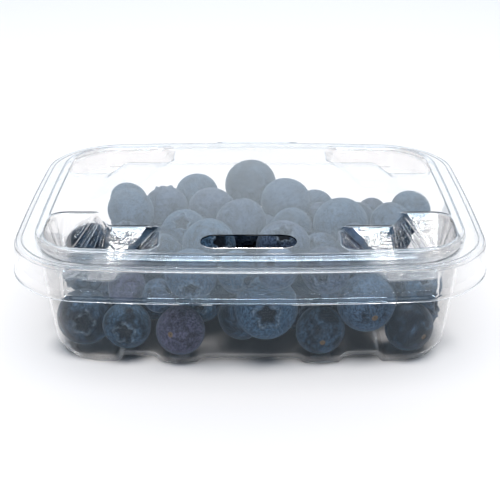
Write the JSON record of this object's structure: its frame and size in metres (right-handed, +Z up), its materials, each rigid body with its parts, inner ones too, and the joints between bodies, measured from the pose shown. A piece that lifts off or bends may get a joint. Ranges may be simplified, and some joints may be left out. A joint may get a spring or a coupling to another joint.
{
  "type": "punnet of blueberries",
  "caption": "Shut rectangular clear plastic punnet on ribbed feet, filled with blueberries, with a press-on lid that has corner pockets and an air slot.",
  "frame": {"origin": "on the floor under the middle of the pack's box", "axes": "+X along the long side, -Y towards the side with the air slot, +Z up through the lid"},
  "size_m": [0.145, 0.1027, 0.0386],
  "materials": {
    "clear_film": "clear thermoformed film, glossy",
    "berry_skin": "dark blue skin under a pale waxy bloom"
  },
  "bodies": {
    "root": {"tray": "clear_film", "berries": "berry_skin", "lid": "clear_film"}
  },
  "joints": []
}
